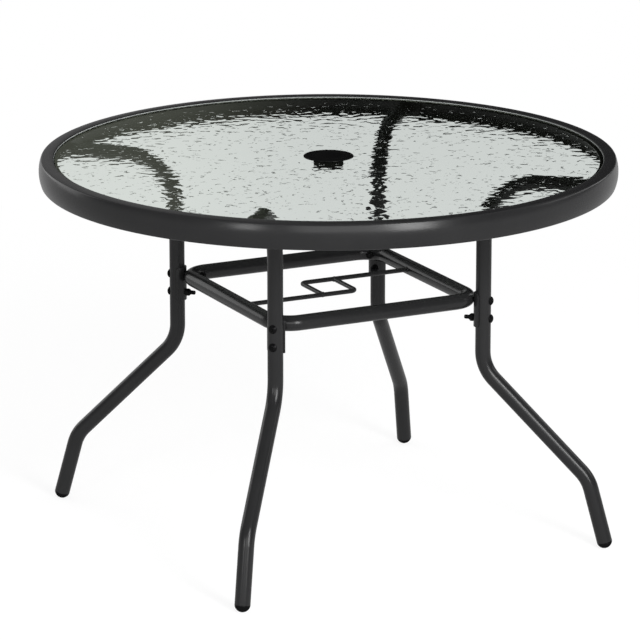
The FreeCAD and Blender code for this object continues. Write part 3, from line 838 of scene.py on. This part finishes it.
def pipe(shape, path, normal, outer, inner=0.0, closed=False, place=None):
    """A round tube along a line that lies in the plane of a normal, with a bore if inner is given."""
    last = len(path) - 1
    rings = Rings()

    def ring(index, radius, shift=0.0):
        before = path[index - 1] if closed or index else path[index]
        after = path[(index + 1) % len(path)] if closed or index < last else path[index]
        along = (after - before).normalized()
        across = along.cross(normal)
        middle = path[index] + along * shift
        rings.add([middle + (normal * x + across * y) * radius for x, y in directions(PIPE_SIDES)])

    if closed:
        for index in range(len(path)):
            ring(index, outer)
        shape.add(*rings.joined(closed=True), place)
        return
    ring(0, outer - PIPE_EASE)
    ring(0, outer, PIPE_EASE)
    for index in range(1, last):
        ring(index, outer)
    ring(last, outer, -PIPE_EASE)
    ring(last, outer - PIPE_EASE)
    if inner:
        ring(last, inner + PIPE_EASE)
        ring(last, inner, -PIPE_EASE)
        for index in range(last - 1, 0, -1):
            ring(index, inner)
        ring(0, inner, PIPE_EASE)
        ring(0, inner + PIPE_EASE)
    shape.add(*rings.joined(closed=inner > 0, capped=not inner), place)


def leg_line():
    """The centre line of a leg in its own frame, from its end at the rim to its foot."""
    splay, lean = math.radians(SPLAY), math.radians(FOOT_LEAN)
    splayed = Vector((math.sin(splay), -math.cos(splay)))
    down = Vector((math.sin(lean), -math.cos(lean)))
    tip = Vector((FOOT_REACH, 0)) - down * FOOT_BAND
    knee_end = Vector((LOW_BEND * (1 - math.cos(splay)), KNEE - LOW_BEND * math.sin(splay)))
    gap = tip - knee_end
    run = (gap.x * down.y - gap.y * down.x) / (splayed.x * down.y - splayed.y * down.x)
    meeting = knee_end + splayed * run
    bend_start = meeting - splayed * LOW_BEND * math.tan((splay - lean) / 2)
    centre = bend_start - Vector((math.cos(splay), math.sin(splay))) * LOW_BEND
    line = [
        (RUN_END, RUN_LEVEL), *arc(TOP_BEND, RUN_LEVEL - TOP_BEND, TOP_BEND, 90, 180),
        *arc(LOW_BEND, KNEE, LOW_BEND, 180, 180 + SPLAY),
        *arc(centre.x, centre.y, LOW_BEND, SPLAY, FOOT_LEAN), tip,
    ]
    return [Vector((x, 0, z)) for x, z in line]


def on_brace(line):
    """A line of (x, y) points at the brace's level."""
    return [Vector((x, y, BRACE_LEVEL)) for x, y in line]


def make_tubes():
    for name, angle in LEG_ANGLES.items():
        shape = Shape()
        pipe(shape, leg_line(), Vector((0, 1, 0)), TUBE, TUBE - TUBE_WALL, place=on_leg(angle))
        shape.piece("bent_leg_" + name, "frame_coat", ["leg_" + name])
    straight = BRACE_HALF - BRACE_CORNER
    line = []
    for x, y, start in ((1, 1, 0), (-1, 1, 90), (-1, -1, 180), (1, -1, 270)):
        line += arc(x * straight, y * straight, BRACE_CORNER, start, start + 90)
    shape = Shape()
    pipe(shape, on_brace(line), UP, TUBE, closed=True)
    shape.piece("bent_brace", "frame_coat", ["brace_ring"])
    line = [
        (TUBE - BRACE_HALF - ROD_SINK, -ROD_SPREAD),
        *arc(ROD_REACH - ROD_BEND, ROD_BEND - ROD_SPREAD, ROD_BEND, -90, 0),
        (ROD_REACH, ROD_SPREAD - ROD_SHORT),
    ]
    for name, half_turn in (("front", 0.0), ("rear", math.pi)):
        shape = Shape()
        pipe(shape, on_brace(line), UP, ROD, place=Matrix.Rotation(half_turn, 4, "Z"))
        shape.piece("bent_rod_" + name, "frame_coat", ["guide_rod_" + name])


# Saddle plates

SADDLE_STEPS = 38
SADDLE_CORNER = 6.0
SADDLE_INNER_CUT = 0.6
SADDLE_OUTER_CUT = 0.8


def make_saddles():
    """Curved plates with rounded corners, as columns from one end of the curve to the other."""
    rings = Rings()
    for step in range(SADDLE_STEPS + 1):
        # Columns stand closer together at the rounded ends.
        angle = SADDLE_HALF * math.sin(math.pi / 2 * (2 * step / SADDLE_STEPS - 1))
        to_end = min(SADDLE_CORNER, math.radians(SADDLE_HALF - abs(angle)) * SADDLE_OUTSIDE)
        cut = SADDLE_CORNER - math.sqrt(SADDLE_CORNER ** 2 - (SADDLE_CORNER - to_end) ** 2)
        low, high = SADDLE_LOW + cut, SADDLE_HIGH - cut
        outline = softened([
            (SADDLE_INSIDE, low, SADDLE_INNER_CUT), (SADDLE_OUTSIDE, low, SADDLE_OUTER_CUT),
            (SADDLE_OUTSIDE, high, SADDLE_OUTER_CUT), (SADDLE_INSIDE, high, SADDLE_INNER_CUT),
        ], steps=3)
        x, y = math.cos(math.radians(angle)), math.sin(math.radians(angle))
        rings.add([(radius * x, radius * y, level) for radius, level in outline])
    for name, angle in LEG_ANGLES.items():
        shape = Shape()
        shape.add(*rings.joined(capped=True), on_leg(angle, 180.0))
        shape.piece("rounded_saddle_" + name, "frame_coat", ["saddle_plate_" + name])


# Weld beads

BEAD_STEPS = 36
BEAD_SIDES = 8
BEAD_PITCH = 2.2
BEAD_BASE = 0.8
BEAD_RIPPLE = 0.2
BEAD_GRAIN = 0.08
BEAD_GRAIN_SIZE = 3.0
BEAD_END = 0.3
BRACE_BEAD = 1.7
ROD_BEAD = 1.3
ROD_BEAD_LEAST = 0.12
PAD_BEAD = 1.8
PAD_BEAD_SINK = 0.6


def bead(shape, path, size, closed=True):
    """A rippled round bead along (point, outward direction) pairs."""
    rings = Rings()
    run = 0.0
    last = len(path) - 1
    for index, (point, out) in enumerate(path):
        after = path[(index + 1) % len(path)][0] if closed or index < last else point
        before = path[index - 1][0] if closed or index else point
        out = out.normalized()
        across = (after - before).normalized().cross(out).normalized()
        ripples = BEAD_RIPPLE * abs(math.sin(math.pi * run / BEAD_PITCH))
        radius = size * (BEAD_BASE + ripples + BEAD_GRAIN * noise.noise(point / BEAD_GRAIN_SIZE))
        if not closed and index in (0, last):
            radius *= BEAD_END
        rings.add([point + (out * x + across * y) * radius for x, y in directions(BEAD_SIDES)])
        run += (after - point).length
    shape.add(*rings.joined(closed, capped=not closed))


def make_welds():
    for name, half_turn in (("front", 0.0), ("rear", math.pi)):
        turn = Matrix.Rotation(half_turn, 4, "Z")
        to_brace = []
        to_rod = []
        for x, y in directions(BEAD_STEPS):
            side, rise = ROD * x, ROD * y
            face = math.sqrt(TUBE ** 2 - rise ** 2) - BRACE_HALF
            point = Vector((face, side - ROD_SPREAD, BRACE_LEVEL + rise))
            to_brace.append((turn @ point, turn @ Vector((0, side, rise))))
            depth = ROD * math.sqrt(max(ROD_BEAD_LEAST, x ** 2))
            point = Vector((ROD_REACH + side, ROD_SPREAD - depth, BRACE_LEVEL + rise))
            to_rod.append((turn @ point, turn @ Vector((side, 0, rise))))
        shape = Shape()
        bead(shape, to_brace, BRACE_BEAD)
        bead(shape, to_rod, ROD_BEAD)
        shape.piece("rod_welds_" + name, "frame_coat", sharp=60.0)
    shape = Shape()
    for angle in LEG_ANGLES.values():
        for level, direction in ((PAD_BOTTOM, -UP), (PAD_TOP, UP)):
            wall_face = WALL_CENTRE + math.sqrt((WALL_CURVE - GAUGE) ** 2 - (level - RIM_MIDDLE) ** 2)
            path = []
            for step in range(BEAD_STEPS + 1):
                out = outward(angle + PAD_TURN + PAD_HALF * (2 * step / BEAD_STEPS - 1))
                path.append((out * (wall_face - PAD_BEAD_SINK) + UP * level, direction))
            bead(shape, path, PAD_BEAD, closed=False)
    shape.piece("socket_welds", "frame_coat", sharp=60.0)


# Studio

FLOOR_HALF = 40.0
FLOOR_GLOW = 0.82
FLOOR_NEAR = 1.0
FLOOR_FAR = 2.6
FLOOR_TONE = 1.06
FLOOR_BOUNCE = 0.3
DIFFUSE_LIGHT = 0.55
HORIZON = 0.0
HAZE_LEFT = 0.24
HAZE_RIGHT = 0.08
CEILING_LEFT = 0.38
CEILING_RIGHT = 0.02
ABOVE_START = 0.4
ABOVE_END = 0.8
ABOVE = 0.3
FADE_LEFT = -0.045
FADE_RIGHT = 0.005
LAMP_TARGET = Vector((0, 0, 0.4))

# For each lamp: its bearing in degrees from the photograph's far side, clockwise seen from above, then its
# distance, height, width and tallness in metres, and its power in watts.
LAMPS = {
    "left_rear_lamp": (-52, 4.6, 1.9, 3.2, 2.4, 52),
    "right_rear_lamp": (46, 4.2, 2.1, 1.5, 1.5, 17),
    "left_key_lamp": (-150, 4.0, 1.45, 0.5, 1.0, 26),
    "right_key_lamp": (149, 4.0, 2.0, 1.0, 2.4, 150),
    "right_side_lamp": (76, 4.2, 2.0, 2.6, 1.2, 20),
    "front_lamp": (172, 4.2, 1.7, 3.2, 1.6, 70),
}


def seen_white(shader):
    """1 for camera, glossy and transmission rays."""
    path = shader.node("LightPath").outputs
    seen = shader.math("MAXIMUM", path["Is Camera Ray"], path["Is Glossy Ray"])
    return shader.math("MAXIMUM", seen, path["Is Transmission Ray"])


def make_floor():
    """White far out and nearly so under the table, where shadows show. It sends little light back up."""
    corners = [(x * FLOOR_HALF, y * FLOOR_HALF, 0) for x, y in ((-1, -1), (1, -1), (1, 1), (-1, 1))]
    mesh = bpy.data.meshes.new("floor")
    mesh.from_pydata(corners, [], [(0, 1, 2, 3)])
    floor = bpy.data.objects.new("floor", mesh)
    bpy.context.scene.collection.objects.link(floor)
    shader = new_material("studio_floor")
    seen = seen_white(shader)
    reach = shader.node("VectorMath", {0: shader.place()}, operation="LENGTH").outputs["Value"]
    glow = shader.spread(reach, FLOOR_NEAR, FLOOR_FAR, FLOOR_GLOW, 1.0, smooth=True)
    diffuse = shader.node("BsdfDiffuse", {"Color": shader.spread(seen, 0.0, 1.0, FLOOR_BOUNCE, FLOOR_TONE)})
    white = shader.node("Emission", {"Color": WHITE, "Strength": 1.0})
    mesh.materials.append(shader.finish(shader.mix(shader.math("MULTIPLY", seen, glow), diffuse, white)))


def make_world():
    """White to the camera and through glass. Mirrors see it darken above the horizon, most on the right."""
    world = bpy.data.worlds.new("studio")
    bpy.context.scene.world = world
    shader = Shader(world, "OutputWorld")
    ray = shader.node("TexCoord").outputs["Generated"]
    rise = shader.node("SeparateXYZ", {0: ray}).outputs["Z"]
    side = shader.node("VectorMath", {0: ray, 1: camera_right()}, operation="DOT_PRODUCT").outputs["Value"]
    overhead = shader.spread(rise, ABOVE_START, ABOVE_END, 0.0, ABOVE, smooth=True)
    ceiling = shader.spread(side, FADE_LEFT, FADE_RIGHT, CEILING_LEFT, CEILING_RIGHT, smooth=True)
    haze = shader.spread(side, FADE_LEFT, FADE_RIGHT, HAZE_LEFT, HAZE_RIGHT, smooth=True)
    dimmed = shader.spread(rise, HORIZON, haze, 1.0, shader.math("MAXIMUM", ceiling, overhead), smooth=True)
    glossy = shader.node("LightPath").outputs["Is Glossy Ray"]
    tone = shader.node("Mix", {"Factor": glossy, "A": 1.0, "B": dimmed}).outputs["Result"]
    light = shader.node("Background", {"Color": WHITE, "Strength": DIFFUSE_LIGHT})
    white = shader.node("Background", {"Color": WHITE, "Strength": tone})
    shader.finish(shader.mix(seen_white(shader), light, white))


def make_lamps():
    """Soft lamps that face the table. A camera that looks their way doesn't show them."""
    for name, (bearing, distance, height, width, tall, power) in LAMPS.items():
        lamp = bpy.data.lights.new(name, "AREA")
        lamp.shape = "RECTANGLE"
        lamp.size = width
        lamp.size_y = tall
        lamp.energy = power
        thing = bpy.data.objects.new(name, lamp)
        bpy.context.scene.collection.objects.link(thing)
        place = outward(90.0 + CAMERA_AZIMUTH - bearing) * distance + UP * height
        thing.location = place
        thing.rotation_mode = "QUATERNION"
        thing.rotation_quaternion = (LAMP_TARGET - place).to_track_quat("-Z", "Y")
        thing.visible_camera = False
        thing.visible_transmission = False


dress_nodes()
make_rim()
make_seal()
make_glass()
make_hole_ring()
make_hole_plug()
make_fasteners()
make_feet()
make_tubes()
make_saddles()
make_welds()
make_floor()
make_world()
make_lamps()
make_camera()
